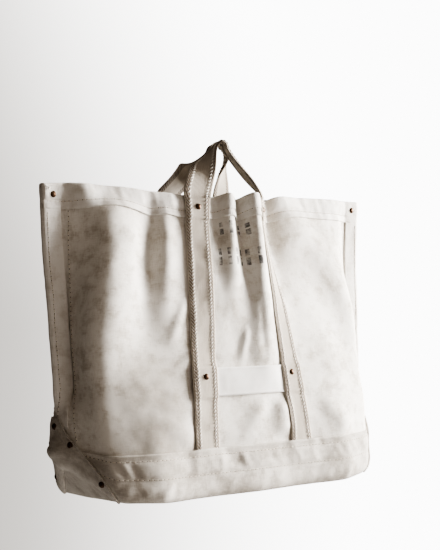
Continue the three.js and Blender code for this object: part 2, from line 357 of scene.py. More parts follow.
def slice_guides(height, turned):
    """Half a level slice, as guide points. turned is how far the strap's outer edge is drawn back."""
    share = np.clip(height / DEPTH, 0, 1.02)
    wall = -mix(WALL_BASE, WALL_TOP, share)
    tip = mix(TIP_BASE, TIP_TOP, share)
    corner_y = -mix(70, 12, share) * MM
    boxed = tip - (-corner_y - 9 * MM) * 0.72
    corner_x = mix(boxed, 190 * MM, smooth(height, EAR_TOP, DEPTH))
    flat = smooth(height, EAR_TOP - 8 * MM, EAR_TOP + 40 * MM)
    seam_x = mix(mix(corner_x, tip, 0.68), tip - 28 * MM, flat)
    seam_y = mix(corner_y * 0.32, -1.0 * MM, flat)
    pulled = turned * smooth(share, 0.25, 1.0)
    inner = (mix(65, 40, share) * MM, wall - 2 * MM * pulled)
    outer = (mix(105, 80 - 9 * abs(turned), share) * MM, wall + 14 * MM * pulled)
    wall_out = wall - 5 * MM * (1 - share)
    wing_y = mix(wall - 8 * MM, (outer[1] + corner_y) / 2, smooth(share, 0.0, 0.75))
    wing = ((outer[0] + corner_x) / 2, wing_y)
    end = [(corner_x, corner_y), (seam_x, seam_y), (tip, -0.8 * MM)]
    return np.array([(0, wall_out), inner, outer, wing, *end])


def blur(rows, width):
    """Smooths closed rows with a bell curve of the given width."""
    waves = np.fft.fftfreq(rows.shape[1], STEP)
    bell = np.exp(-2 * (math.pi * waves * width) ** 2)
    return np.fft.ifft(np.fft.fft(rows, axis=1) * bell[None, :, None], axis=1).real


def along_of(ring):
    """How far along its own face a ring place lies."""
    return np.where(ring <= HALF, ring, 2 * HALF - ring)


# How far each strap is drawn back where the handles gather it: (side, is it the front), and the rest
TURNED = {(-1, True): 0.6, (1, True): 1.9, (1, False): -1.7}
TURNED_ELSE = 0.9


def plain_sack():
    """The sack without folds, as a grid of points: one row for each height, once round the ring."""
    along = along_of(RING)
    front = RING <= HALF
    rows = []
    for height in RISE:
        x, y = np.zeros_like(RING), np.zeros_like(RING)
        for side in (-1, 1):
            for is_front in (True, False):
                guide = slice_guides(height, TURNED.get((side, is_front), TURNED_ELSE))
                mine = ((np.sign(along) == side) | (along == 0)) & (front == is_front)
                x[mine] = side * np.interp(abs(along[mine]), GUIDES, guide[:, 0])
                y[mine] = (1 if is_front else -1) * np.interp(abs(along[mine]), GUIDES, guide[:, 1])
        rows.append(np.stack([x, y], -1))
    rows = np.array(rows)
    height = RISE[:, None, None]
    loose = smooth(height, 20 * MM, 190 * MM)
    soft = mix(blur(rows, 6 * MM), blur(rows, 16 * MM), loose)
    seam = smooth(abs(along), 262 * MM, 280 * MM)[None, :, None] * smooth(height, 95 * MM, 135 * MM)
    flat = mix(soft, rows, seam)
    z = np.broadcast_to(BASE_Z + RISE[:, None], flat.shape[:2])
    return np.concatenate([flat, z[..., None]], -1), along, front


def outward_of(grid):
    round_ring = np.roll(grid, -1, axis=1) - np.roll(grid, 1, axis=1)
    upward = np.gradient(grid, axis=0)
    normal = np.cross(round_ring, upward)
    return normal / np.linalg.norm(normal, axis=-1, keepdims=True)


plain, ALONG, FRONT = plain_sack()
print("slices:", plain.shape)

# %% [markdown]
# ## Folds
# Heavy canvas keeps the folds it was stored with. Each one is a ridge or a valley that runs from a top point
# to a foot, with its own width and height. Between the straps the cloth is gathered, because the handles pull
# the straps together on the hook: it stands in two deep pleats. Each wing swells towards its end, with a
# valley beside the swell. A simulation would find folds of its own; a list keeps the ones this sack has.

# %% Folds of each face, in millimetres: top (along, height), foot (along, height), width, rise, fade
FRONT_FOLDS = [
    ((-264, 388), (-200, 336), 17, 6, 0.6),
    ((-198, 350), (-212, 130), 30, 14, 1.0),
    ((-200, 378), (-186, 300), 26, 5, 0.8),
    ((-152, 380), (-156, 160), 16, -8, 1.3),
    ((-129, 380), (-134, 190), 12, 7, 1.2),
    ((-170, 240), (-130, 120), 30, -4, 0.8),
    ((-48, 400), (-46, 230), 12, -2, 1.5),
    ((-16, 404), (-20, 215), 15, 10, 1.5),
    ((13, 400), (10, 230), 12, -6, 1.5),
    ((42, 404), (32, 130), 15, 13, 1.1),
    ((112, 392), (104, 250), 12, -8, 1.2),
    ((128, 396), (268, 170), 26, 8, 0.9),
    ((170, 330), (215, 60), 26, -4, 0.8),
    ((2, 210), (-16, 160), 5, 2.4, 0.7),
    ((30, 250), (28, 165), 5, -2.0, 0.7),
    ((-98, 178), (-172, 112), 6, 2.2, 0.6),
    ((-110, 168), (-178, 100), 7, -2.0, 0.6),
    ((-104, 250), (-128, 190), 5, 2.6, 0.6),
    ((52, 110), (48, 64), 12, 6, 0.6),
    ((20, 112), (-20, 62), 9, 2.5, 0.6),
    ((128, 108), (170, 62), 12, 4, 0.6),
    ((-150, 96), (-96, 66), 10, 2.5, 0.6),
]
BACK_FOLDS = [
    ((-214, 392), (-222, 120), 30, 10, 1.2),
    ((-150, 392), (-160, 120), 22, -8, 1.2),
    ((-46, 400), (-40, 220), 12, -6, 1.4),
    ((-20, 404), (-16, 150), 15, 15, 1.4),
    ((10, 400), (6, 230), 11, -7, 1.4),
    ((38, 404), (44, 220), 13, 13, 1.4),
    ((150, 392), (190, 130), 24, 9, 1.1),
    ((112, 392), (118, 240), 14, -8, 1.2),
    ((215, 392), (222, 130), 24, -5, 1.1),
    ((-120, 150), (-60, 80), 10, 3, 0.7),
    ((90, 190), (170, 110), 9, 3, 0.7),
]


def lattice(along, height, cell, seed):
    """Smooth seeded noise between -1 and 1, with bumps about one cell wide."""
    table = np.random.default_rng(seed).uniform(-1, 1, (64, 64))
    x, y = along / cell + 31.5, height / cell + 31.5
    i, j = np.floor(x).astype(int), np.floor(y).astype(int)
    u, v = smooth(x - i, 0, 1), smooth(y - j, 0, 1)
    pick = lambda a, b: table[(i + a) % 64, (j + b) % 64]
    return mix(mix(pick(0, 0), pick(1, 0), u), mix(pick(0, 1), pick(1, 1), u), v)


def fold_rise(along, height, folds):
    total = np.zeros_like(along)
    for top, foot, width, rise, fade in folds:
        (top_s, top_v), (foot_s, foot_v) = (np.array(top) * MM, np.array(foot) * MM)
        run = np.array([foot_s - top_s, foot_v - top_v])
        reach = ((along - top_s) * run[0] + (height - top_v) * run[1]) / (run @ run)
        aside = ((along - top_s) * run[1] - (height - top_v) * run[0]) / math.hypot(*run)
        spread = width * MM * (1 + 0.5 * np.clip(reach, 0, 1))
        open_top = top_v > DEPTH - 2 * MM
        start = 1.0 if open_top else smooth(reach, -0.15, 0.3)
        end = 1 - smooth(reach, 1 - 0.75 * fade / 1.5, 1.12)
        total += rise * MM * start * end * np.exp(-((aside / spread) ** 2))
    return total


def wrinkles(along, height, seed):
    broad = 2.6 * MM * lattice(along, height * 0.7, 75 * MM, seed)
    middle = 0.9 * MM * lattice(along + 0.3 * height, height - 0.2 * along, 28 * MM, seed + 1)
    fine = 0.28 * MM * lattice(along - 0.4 * height, height + 0.3 * along, 11 * MM, seed + 2)
    return broad + middle + fine


def hung_sack():
    along = np.broadcast_to(ALONG, plain.shape[:2])
    height = np.broadcast_to(RISE[:, None], plain.shape[:2])
    face = np.broadcast_to(FRONT, plain.shape[:2])
    folds = np.where(face, fold_rise(along, height, FRONT_FOLDS), fold_rise(along, height, BACK_FOLDS))
    bulge = 9 * MM * np.exp(-(((HALF - abs(along)) / (55 * MM)) ** 2) - ((height - 42 * MM) / (34 * MM)) ** 2)
    seam = smooth(abs(along), 245 * MM, 276 * MM) * smooth(height, 100 * MM, 140 * MM)
    base = 1 - smooth(height, 8 * MM, 75 * MM)
    creases = np.where(face, wrinkles(along, height, 5), wrinkles(along, height, 40))
    edge = smooth(abs(along), 285 * MM, HALF)
    banded = face * (1 - smooth(abs(height - (STRIP_LOW + STRIP_HIGH) / 2), 16 * MM, 30 * MM))
    edge = np.maximum(edge, banded * (1 - smooth(abs(along), 70 * MM, 110 * MM)))
    rise = (folds + creases * (1 - 0.7 * edge)) * (1 - 0.93 * seam) * (1 - 0.55 * base)
    sway = 5 * MM * lattice(0 * along + 0.2, height, 90 * MM, 77) * smooth(height, 90 * MM, 150 * MM)
    grid = plain + outward_of(plain) * (rise + bulge)[..., None]
    grid[..., 1] += sway * seam
    wings = smooth(abs(along), 85 * MM, 215 * MM)
    top = smooth(height, 250 * MM, DEPTH)
    lift = top * (mix(-3.5, 4.5, wings) * MM + 0.38 * folds)
    under = (1 - smooth(height, -5 * MM, 85 * MM))
    tips = smooth(abs(along), 205 * MM, 300 * MM)
    lift += under * (42 * MM * tips - 5 * MM * (1 - smooth(abs(along), 120 * MM, 240 * MM)))
    grid[..., 2] += lift
    inward = 9 * MM * (1 - np.sqrt(1 - np.clip(1 - height / (14 * MM), 0, 1) ** 2))
    grid -= outward_of(plain) * inward[..., None]
    return grid


SACK = hung_sack()
OUTWARD = outward_of(SACK)
print("the hung canvas spans", np.round(np.ptp(SACK.reshape(-1, 3), axis=0) / MM), "mm")

# %% [markdown]
# ## Asking the cloth for a place
# Every piece asks for points of the canvas between the grid's own, so the grid is read with a smooth
# four-point rule in both directions. A lift moves the point off the canvas along its outward direction.

# %% Reading the grid
def four_weights(t):
    t2, t3 = t * t, t * t * t
    first, last = 0.5 * (-t3 + 2 * t2 - t), 0.5 * (t3 - t2)
    return first, 0.5 * (3 * t3 - 5 * t2 + 2), 0.5 * (-3 * t3 + 4 * t2 + t), last


def read(grid, ring, height):
    x = (ring + HALF) / STEP
    y = np.clip((height - LOW) / STEP, 1, len(RISE) - 2.001)
    i, j = np.floor(x).astype(int), np.floor(y).astype(int)
    total = 0
    for a, across in enumerate(four_weights(x - i)):
        for b, upward in enumerate(four_weights(y - j)):
            row = np.clip(j + b - 1, 0, len(RISE) - 1)
            total = total + (across * upward)[..., None] * grid[row, (i + a - 1) % len(RING)]
    return total


def on_cloth(ring, height, lift=0.0):
    """Points at pattern places, lifted off the canvas, and the outward directions there."""
    ring, height, lift = np.broadcast_arrays(*(np.asarray(v, float) for v in (ring, height, lift)))
    outward = read(OUTWARD, ring, height)
    outward = outward / np.linalg.norm(outward, axis=-1, keepdims=True)
    return read(SACK, ring, height) + outward * lift[..., None], outward


def ring_of(face, along):
    """The ring place of a distance along a face. Seen from the front, + is to the right on both."""
    return along if face == "front" else 2 * HALF - along


# %% Mesh helpers
def make_piece(name, points, faces, finish, pattern=None):
    mesh = bpy.data.meshes.new(name)
    mesh.from_pydata([tuple(p) for p in points], [], [tuple(f) for f in faces])
    mesh.polygons.foreach_set("use_smooth", [True] * len(mesh.polygons))
    if pattern is not None:
        layer = mesh.attributes.new("pattern", "FLOAT_VECTOR", "POINT")
        layer.data.foreach_set("vector", np.asarray(pattern, np.float32).ravel())
    mesh.materials.append(finish)
    mesh.update()
    piece = bpy.data.objects.new(name, mesh)
    bpy.context.scene.collection.objects.link(piece)
    return piece


def grid_faces(rows, columns, start=0, closed=False, flip=False):
    i = np.arange(rows - 1)[:, None] * columns + np.arange(columns if closed else columns - 1)[None, :]
    step = (np.arange(columns if closed else columns - 1) + 1) % columns
    j = np.arange(rows - 1)[:, None] * columns + step[None, :]
    faces = np.stack([i, j, j + columns, i + columns], -1).reshape(-1, 4) + start
    return faces[:, ::-1] if flip else faces


def two_skins(rows, columns):
    """Faces of a sheet with two skins of points, one after the other, and the rim between them."""
    count = rows * columns
    grid = np.arange(count).reshape(rows, columns)
    edge = np.concatenate([grid[0], grid[1:, -1], grid[-1, -2::-1], grid[-2:0:-1, 0]])
    ahead = np.roll(edge, -1)
    rim = np.stack([ahead, edge, edge + count, ahead + count], -1)
    return np.concatenate([grid_faces(rows, columns), grid_faces(rows, columns, count, flip=True), rim])


def cloth_sheet(name, ring, height, inner, outer, finish):
    """A sheet of cloth between two lifts. ring and height are grids of pattern places."""
    outside, _ = on_cloth(ring, height, outer)
    inside, _ = on_cloth(ring, height, inner)
    points = np.concatenate([outside.reshape(-1, 3), inside.reshape(-1, 3)])
    flat = np.stack([ring, height, 0 * ring], -1).reshape(-1, 3)
    return make_piece(name, points, two_skins(*ring.shape), finish, np.concatenate([flat, flat]))


def places(low, high, step):
    return np.linspace(low, high, max(2, int(round((high - low) / step)) + 1))


def face_grid(face, low, high, bottom, top, step=3 * MM):
    along, height = np.meshgrid(places(low, high, step), places(bottom, top, step))
    ring = ring_of(face, along)
    return (ring, height) if face == "front" else (ring[:, ::-1], height)


# %% [markdown]
# ## Canvas finishes
# The canvas is a plain weave of undyed cotton. Up close it has threads and slubs, further off it is mottled
# from washing, and it is greyer where it was rubbed and handled. The lower left of the front is darkened as
# well, partly by soiling and partly as painted shade. All of it is a sum of noises on the pattern,
# so it runs with the cloth through every fold.

# %% Canvas
def canvas_finish(name, light, shade, dirt, weave=1.15 * MM, mottle=1.0):
    f = Finish(name)
    across, along = f.pattern()
    spot = f.vector(across, along)
    u, v = across * (math.pi / weave), along * (math.pi / weave)
    over = (u.wave() * v.wave()).over(0.0)
    threads = over * u.wave().size() + (1 - over) * v.wave().size()
    slub = f.noise(f.vector(across * 900.0, along * 110.0), 1.0, 2.0)
    slub = slub + f.noise(f.vector(across * 110.0, along * 900.0), 1.0, 2.0, seed=3.0) - 1.0
    cloud = f.noise(spot, 16.0, 4.0, 0.6, seed=1.0).ramp(0.35, 0.68)
    patch = f.noise(spot, 62.0, 5.0, 0.62, seed=2.0).ramp(0.42, 0.70)
    speck = f.noise(spot, 420.0, 2.0, 0.5, seed=5.0).ramp(0.70, 0.78)
    worn = cloud * (0.46 * mottle) + patch * (0.48 * mottle) + slub * 0.75
    colour = f.mix(rgb(*light), rgb(*shade), worn.ramp(0.0, 1.0))
    colour = f.mix(colour, rgb(*dirt), speck * 0.35)
    height = threads * 0.6 + slub * 0.8 + patch * 0.35
    f.set(Base_Color=colour, Roughness=0.88 + 0.08 * cloud, Normal=f.bump(height, 0.35 * MM, 0.75))
    f.set(Specular_IOR_Level=0.25, Sheen_Weight=0.12, Sheen_Roughness=0.5)
    return f


CREAM, WORN, GREY = (0.80, 0.765, 0.71), (0.51, 0.46, 0.395), (0.26, 0.23, 0.20)
canvas = canvas_finish("canvas", CREAM, WORN, GREY)
hem_canvas = canvas_finish("hem_canvas", (0.79, 0.76, 0.715), (0.64, 0.60, 0.545), GREY, mottle=1.2)
base_canvas = canvas_finish("base_canvas", (0.62, 0.58, 0.525), (0.42, 0.38, 0.33), GREY, mottle=1.3)

# %% Front canvas, with faded stencilled bars
# Rows of bars, in millimetres: middle height, half height, place of the first, how many, pitch
BAR_ROWS = ((345, 8.5, -34, 5, 15), (306, 11.5, -42, 6, 15.5))


def stencilled_canvas():
    f = canvas_finish("front_canvas", CREAM, WORN, GREY)
    across, along = f.pattern()
    ink = 0.0
    for middle, reach, first, count, pitch in BAR_ROWS:
        place = (across - (first - pitch / 2) * MM) / (pitch * MM)
        column = place.math("FRACT", place)
        bar = 1 - ((column - 0.5).size()).ramp(0.17, 0.21)
        tall = 1 - ((along - middle * MM).size()).ramp((reach - 0.6) * MM, (reach + 0.6) * MM)
        bridge = ((along - (middle + 1) * MM).size()).ramp(0.8 * MM, 1.5 * MM)
        inside = place.over(0.0) * (1 - place.over(float(count)))
        ink = ink + bar * tall * bridge * inside
    fade = f.noise(f.vector(across, along), 85.0, 4.0, 0.65, seed=9.0).ramp(0.33, 0.60)
    base = Signal(f, f.shader.inputs["Base Color"].links[0].from_socket)
    # Painted shade and soiling: the lower left of the front, between the wing and the strap, is darkened
    # towards grey-brown, partly as soiling and partly as painted shade.
    low = 1 - along.ramp(120 * MM, 215 * MM)
    left = across.ramp(-215 * MM, -165 * MM) * (1 - across.ramp(-150 * MM, -60 * MM))
    grime_and_shade_noise = f.noise(f.vector(across, along), 24.0, 5.0, 0.6, seed=12.0).ramp(0.30, 0.62)
    grime_and_painted_shade = f.mix(base, rgb(0.30, 0.265, 0.225), low * left * (0.5 + 0.35 * grime_and_shade_noise))
    f.set(Base_Color=f.mix(grime_and_painted_shade, rgb(0.075, 0.075, 0.08), ink * fade * 0.85))
    return f


front_canvas = stencilled_canvas()

# %% Webbing, tape and thread
STRAND_PITCH = 4.4 * MM


def webbing_finish():
    f = Finish("webbing")
    across, along = f.pattern()
    rib = (across * (math.pi / (1.7 * MM))).wave().size()
    pick = (along * (math.pi / (1.25 * MM))).wave().size()
    slub = f.noise(f.vector(across * 1300.0, along * 60.0), 1.0, 3.0)
    cloud = f.noise(f.vector(across, along), 30.0, 4.0, 0.6).ramp(0.35, 0.7)
    worn = slub.ramp(0.3, 0.75) * 0.5 + cloud * 0.5
    colour = f.mix(rgb(0.60, 0.545, 0.475), rgb(0.44, 0.385, 0.32), worn)
    # Painted shade: near each edge, the gaps between the slanting stitch strands are painted nearly black.
    slanting = along / STRAND_PITCH + across * 260.0
    strand = slanting.math("FRACT", slanting)
    seat = (across.size() - 15.0 * MM).size()
    stitch_gap_shade = (1 - seat.ramp(3.0 * MM, 4.2 * MM)) * (1 - (strand - 0.5).size().ramp(0.15, 0.35) * 0.7)
    # Painted shade: the valleys between the ribs are darker.
    rib_valley_shade = 1 - rib.ramp(0.0, 0.45)
    colour = f.mix(colour, rgb(0.36, 0.31, 0.25), rib_valley_shade * 0.45)
    colour = f.mix(colour, rgb(0.13, 0.095, 0.07), stitch_gap_shade * 0.9)
    height = rib * 0.9 + pick * 0.35 + slub * 0.8
    f.set(Base_Color=colour, Roughness=0.9, Normal=f.bump(height, 0.5 * MM, 0.8))
    f.set(Specular_IOR_Level=0.2, Sheen_Weight=0.1)
    return f


def tape_finish():
    f = Finish("smooth_tape")
    across, along = f.pattern()
    line = (along * (math.pi / (0.9 * MM))).wave().size()
    cloud = f.noise(f.vector(across, along), 38.0, 4.0, 0.6).ramp(0.4, 0.75)
    colour = f.mix(rgb(0.82, 0.80, 0.77), rgb(0.74, 0.71, 0.67), cloud)
    f.set(Base_Color=colour, Roughness=0.8, Normal=f.bump(line + cloud * 0.4, 0.15 * MM, 0.5))
    f.set(Specular_IOR_Level=0.3)
    return f


def thread_finish(name, light, dark):
    f = Finish(name)
    across, along = f.pattern()
    ply = (along * (math.pi / (0.8 * MM)) + across * 2500.0).wave().size()
    tint = f.noise(f.vector(across, along), 60.0, 3.0).ramp(0.35, 0.7)
    f.set(Base_Color=f.mix(rgb(*light), rgb(*dark), tint), Roughness=0.85)
    f.set(Normal=f.bump(ply, 0.12 * MM, 0.6), Specular_IOR_Level=0.25)
    return f


def rivet_finish():
    f = Finish("rivet_metal")
    spot = f.node("ShaderNodeTexCoord", None, None, output="Object")
    patina = f.noise(spot, 700.0, 4.0, 0.6).ramp(0.35, 0.7)
    scratch = f.noise(spot, 2600.0, 2.0, 0.5, seed=4.0).ramp(0.55, 0.75)
    colour = f.mix(rgb(0.050, 0.030, 0.020), rgb(0.15, 0.088, 0.052), patina)
    f.set(Base_Color=colour, Roughness=0.34 + 0.22 * patina + 0.12 * scratch, Metallic=0.85)
    f.set(Normal=f.bump(patina + scratch, 0.06 * MM, 0.5))
    return f


webbing = webbing_finish()
tape = tape_finish()
thread = thread_finish("thread", (0.74, 0.68, 0.59), (0.55, 0.49, 0.41))
white_thread = thread_finish("white_thread", (0.82, 0.79, 0.74), (0.68, 0.64, 0.58))
# Painted shade: a dark thread finish for the shade in the needle holes.
needle_shade_finish = thread_finish("needle_shade", (0.16, 0.125, 0.10), (0.08, 0.06, 0.045))
rivet_metal = rivet_finish()
print("finishes:", sorted(m.name for m in bpy.data.materials))

# %% [markdown]
# ## The panels and the floor
# Each panel is one cut of canvas from end seam to end seam. It hangs from its straps.

# %% Panels
THICK = 1.6 * MM
for face, finish in (("front", front_canvas), ("back", canvas)):
    ring, height = face_grid(face, -HALF + 0.6 * MM, HALF - 0.6 * MM, 4 * MM, DEPTH - 1 * MM)
    panel = cloth_sheet(f"{face}_canvas", ring, height, 0.0, THICK, finish.material)
    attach(panel, "bag")
    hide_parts(f"{face}_panel")
    print(panel.name, len(panel.data.polygons), "faces")


# %% Floor canvas
def across_sack(height, inset, drop):
    """Rows of points on a level sheet that fills the sack, from the front wall to the back."""
    along = places(-HALF + inset, HALF - inset, 5 * MM)
    near, _ = on_cloth(ring_of("front", along), height, -inset)
    far, _ = on_cloth(ring_of("back", along), height, -inset)
    share = places(0, 1, 1 / 36)
    rows = np.array([mix(near, far, t) for t in share])
    sag = np.sin(math.pi * share)[:, None] * np.cos(along / HALF * math.pi / 2)[None, :]
    rows[..., 2] += 0.8 * MM * lattice(rows[..., 0], rows[..., 1], 40 * MM, 12) - drop * sag
    return rows


rows = across_sack(9 * MM, 2.5 * MM, 3 * MM)
top = rows.reshape(-1, 3)
points = np.concatenate([top, top - np.array([0, 0, THICK])])
flat = np.tile(top * np.array([1, 1, 0]), (2, 1))
faces = two_skins(*rows.shape[:2])
floor_canvas = make_piece("floor_canvas", points, faces, canvas.material, flat)
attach(floor_canvas, "bag")
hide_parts("floor_panel")
print("floor canvas:", len(floor_canvas.data.polygons), "faces")

# %% [markdown]
# ## Long strips
# Hems, tapes and webbing are long narrow strips with rounded edges. Each one is a section swept along a path.
# The section is closed, so a strip has a real thickness and casts a real shadow line on the canvas under it.

# %% Swept strips
def make_tube(name, points, pattern, finish):
    """A closed section swept along rows, with both ends filled. points is rows by section by 3."""
    rows, sides = points.shape[:2]
    faces = [list(f) for f in grid_faces(rows, sides, closed=True)]
    faces += [list(range(sides))[::-1], list(range((rows - 1) * sides, rows * sides))]
    piece = make_piece(name, points.reshape(-1, 3), faces, finish, pattern.reshape(-1, 3))
    return face_outward(piece)


def face_outward(piece, weld=0.0):
    """Turns every face outward, after joining the points that lie closer than weld."""
    shape = bmesh.new()
    shape.from_mesh(piece.data)
    if weld:
        bmesh.ops.remove_doubles(shape, verts=shape.verts, dist=weld)
    bmesh.ops.recalc_face_normals(shape, faces=shape.faces)
    shape.to_mesh(piece.data)
    shape.free()
    return piece


def turned_over(inside, outside, turns=5):
    """Half a circle of small steps between two lifts, for a folded edge: (out of the edge, lift)."""
    angles = np.linspace(-math.pi / 2, math.pi / 2, turns)
    middle, reach = (inside + outside) / 2, (outside - inside) / 2
    return [(abs(reach) * math.cos(a), middle + reach * math.sin(a)) for a in angles]


# %% Hems
HEM_TURN = DEPTH - HEM_LOW  # how far each hem comes down
HEM_ROW = DEPTH - 18.5 * MM
HEM_OUT = 3.5 * MM
HEM_SEEDS = {"front": 21, "back": 22}


def hem_section():
    """Round the folded hem: (height, lift, is it outside), from the lower outside edge over the mouth."""
    low, top = DEPTH - HEM_TURN, DEPTH + 0.6 * MM
    section = [(low - out, lift, 1) for out, lift in turned_over(1.7 * MM, HEM_OUT)]
    section += [(h, HEM_OUT, 1) for h in places(low + 1.5 * MM, top - 1.5 * MM, 2.4 * MM)]
    section += [(top + out, lift, 1) for out, lift in turned_over(HEM_OUT, -1.8 * MM, 7)]
    section += [(h, -1.8 * MM, 0) for h in places(top - 1.5 * MM, low + 1.5 * MM, 4 * MM)]
    section += [(low - out, lift, 0) for out, lift in turned_over(-1.8 * MM, -0.1 * MM)]
    section += [(h, -0.1 * MM, 0) for h in places(low + 1.5 * MM, top - 2.6 * MM, 4 * MM)]
    section += [(h, 1.7 * MM, 0) for h in places(top - 2.6 * MM, low + 1.5 * MM, 4 * MM)]
    return np.array(section)


def hem_lift(along, height, seed):
    """What the puckered outside of a hem adds to its lift."""
    pucker = lattice(along + 0.15 * height, height * 0.25, 7.5 * MM, seed) * 0.75 * MM
    row = np.exp(-(((height - HEM_ROW) / (2.2 * MM)) ** 2))
    full = np.sin(math.pi * np.clip((height - HEM_ROW) / (DEPTH - HEM_ROW), 0, 1))
    return pucker * (1 - 0.6 * row) + (0.7 * full - 0.75 * row) * MM


section = hem_section()
along = places(-HALF + 1 * MM, HALF - 1 * MM, 2.5 * MM)
for face, seed in HEM_SEEDS.items():
    ring = np.broadcast_to(ring_of(face, along)[:, None], (len(along), len(section)))
    height = np.broadcast_to(section[:, 0], ring.shape)
    lift = section[:, 1] + section[:, 2] * hem_lift(along[:, None], height, seed)
    flat = np.stack([ring, height, 0 * ring], -1)
    points, _ = on_cloth(ring, height, lift)
    hem = make_tube(f"hem_tape_{face}", points, flat, hem_canvas.material)
    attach(hem, "bag")
    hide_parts(f"hem_{face}")

print("hems:", len(section), "points round the fold")

# %% Side bindings
BIND = 24 * MM
BIND_OUT = 3.3 * MM
EAR_LAP = 14 * MM  # how far the binding runs down under the ear
for end, tip in (("left", -HALF), ("right", HALF)):
    outside = [(d, BIND_OUT) for d in places(-BIND + 1 * MM, BIND - 1 * MM, 1.6 * MM)]
    section = [(-BIND - out, lift) for out, lift in turned_over(1.7 * MM, BIND_OUT, 4)] + outside
    section += [(BIND + out, lift) for out, lift in turned_over(BIND_OUT, 1.7 * MM, 4)]
    section += [(d, 1.7 * MM) for d in places(BIND - 2 * MM, -BIND + 2 * MM, 3 * MM)]
    section = np.array(section)
    rows = places(EAR_TOP - EAR_LAP, DEPTH - 2 * MM, 2.5 * MM)
    ring = tip + np.broadcast_to(section[:, 0], (len(rows), len(section)))
    height = np.broadcast_to(rows[:, None], ring.shape)
    lift = section[:, 1] + 0.3 * MM * lattice(ring, height, 9 * MM, 31) * (section[:, 1] > 2 * MM)
    flat = np.stack([ring, height, 0 * ring], -1)
    points, _ = on_cloth(ring, height, lift)
    binding = make_tube(f"seam_tape_{end}", points, flat, hem_canvas.material)
    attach(binding, "bag")
    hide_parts(f"side_binding_{end}")

# %% [markdown]
# ## The boot
# A second layer of canvas wraps the base. Its top edge is folded in and it laps over the lower ends of the
# straps, so it steps out there. It closes under the sack, which makes one piece from wall to wall.

# %% Boot
STRAP_AT = 80 * MM
STRAP_HALF = 20 * MM
STRAP_END = BOOT_TOP - 24 * MM
BOOT_ROWS = (BOOT_TOP - 8 * MM, BOOT_TOP - 30 * MM)


def over_strap(along, height):
    """1 where a strap's end lies under the boot."""
    near = 1 - smooth(abs(abs(along) - STRAP_AT), STRAP_HALF - 2 * MM, STRAP_HALF + 14 * MM)
    return near * smooth(height, STRAP_END - 16 * MM, STRAP_END + 2 * MM)


def boot_puckers(ring, height):
    """Small folds between the two rows of stitches, and slanting ones below them."""
    upper, lower = BOOT_ROWS
    middle = between(height, lower - 1 * MM, lower + 6 * MM, upper - 5 * MM, upper + 2 * MM)
    below = 1 - smooth(height, lower - 7 * MM, lower)
    patchy = 0.55 + 0.45 * lattice(ring, 0 * ring, 70 * MM, 50)
    upright = lattice(ring + 0.45 * height, 0.3 * height, 9 * MM, 51)
    slanting = lattice(ring - 0.9 * height, 0.35 * (height + ring), 13 * MM, 52)
    rows = sum(np.exp(-(((height - row) / (1.8 * MM)) ** 2)) for row in BOOT_ROWS)
    return MM * (patchy * (1.7 * middle * upright + 1.9 * below * slanting) + 0.5 * middle - 0.5 * rows)


def boot_lift(ring, height):
    fold = 0.5 * MM * smooth(height, BOOT_TOP - 4 * MM, BOOT_TOP - 2 * MM)
    return 2.6 * MM * over_strap(along_of(ring), height) + boot_puckers(ring, height) + fold


def boot_shell(inset):
    """One skin of the boot: the wall in rows round the ring, the underside in rows from front to back."""
    heights = places(0, BOOT_TOP, 2.6 * MM)
    columns = 440
    ring = np.linspace(-HALF, 3 * HALF, columns, endpoint=False)
    ring, height = np.meshgrid(ring, heights)
    fade = smooth(height, 0, 10 * MM)
    lift = 3.3 * MM - inset + boot_lift(ring, height) * fade
    wall, _ = on_cloth(ring, height, lift)
    share = places(0, 1, 1 / 44)[:, None]
    half = columns // 2
    front = wall[0, :half + 1]
    rear = np.concatenate([wall[0, :1], wall[0, :half - 1:-1]])
    under = mix(front[None], rear[None], share[..., None])
    depth = np.sin(math.pi * share) * np.sin(math.pi * np.linspace(0, 1, half + 1))[None, :]
    ripple = 2.0 * MM * lattice(under[..., 0], under[..., 1], 45 * MM, 61)
    under[..., 2] += depth * (ripple - 2.5 * MM) + inset * np.minimum(depth * 4, 1)
    return wall, under, (ring, height)


def join_shells():
    points, faces, flats, count = [], [], [], 0
    for inset, flip in ((0.0, False), (THICK, True)):
        wall, under, (ring, height) = boot_shell(inset)
        wall_faces = grid_faces(*wall.shape[:2], count, closed=True, flip=flip)
        under_faces = grid_faces(*under.shape[:2], count + wall[..., 0].size, flip=not flip)
        points += [wall.reshape(-1, 3), under.reshape(-1, 3)]
        flats += [np.stack([ring, height, 0 * ring], -1).reshape(-1, 3), under.reshape(-1, 3)]
        faces += [wall_faces, under_faces]
        if not flip:
            top = count + (wall.shape[0] - 1) * wall.shape[1] + np.arange(wall.shape[1])
            inner_start = wall[..., 0].size + under[..., 0].size
        count += wall[..., 0].size + under[..., 0].size
    ahead = np.roll(top, -1)
    faces.append(np.stack([top, ahead, ahead + inner_start, top + inner_start], -1))
    return np.concatenate(points), np.concatenate(faces), np.concatenate(flats)


points, faces, flats = join_shells()
boot = make_piece("boot_canvas", points, faces, base_canvas.material, flats)
face_outward(boot, weld=0.01 * MM)
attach(boot, "bag")
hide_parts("boot")
print("boot:", len(boot.data.polygons), "faces")

# %% [markdown]
# ## Ears
# A triangular patch wraps each end of the base, where the corners of the boot are folded up. Its two long
# edges are turned under, so they stand proud, and a faint ridge shows where the turned part stops.

# %% Ears
EAR_FOOT, EAR_PEAK = 88 * MM, 7 * MM
EAR_IN, EAR_OUT = 3.6 * MM, 5.3 * MM


def ear_reach(height):
    """How far the ear reaches from the tip at a height: nearly straight, a little hollow."""
    share = np.clip(height / EAR_TOP, 0, 1)
    return mix(EAR_FOOT, EAR_PEAK, share) - 3 * MM * np.sin(math.pi * share)


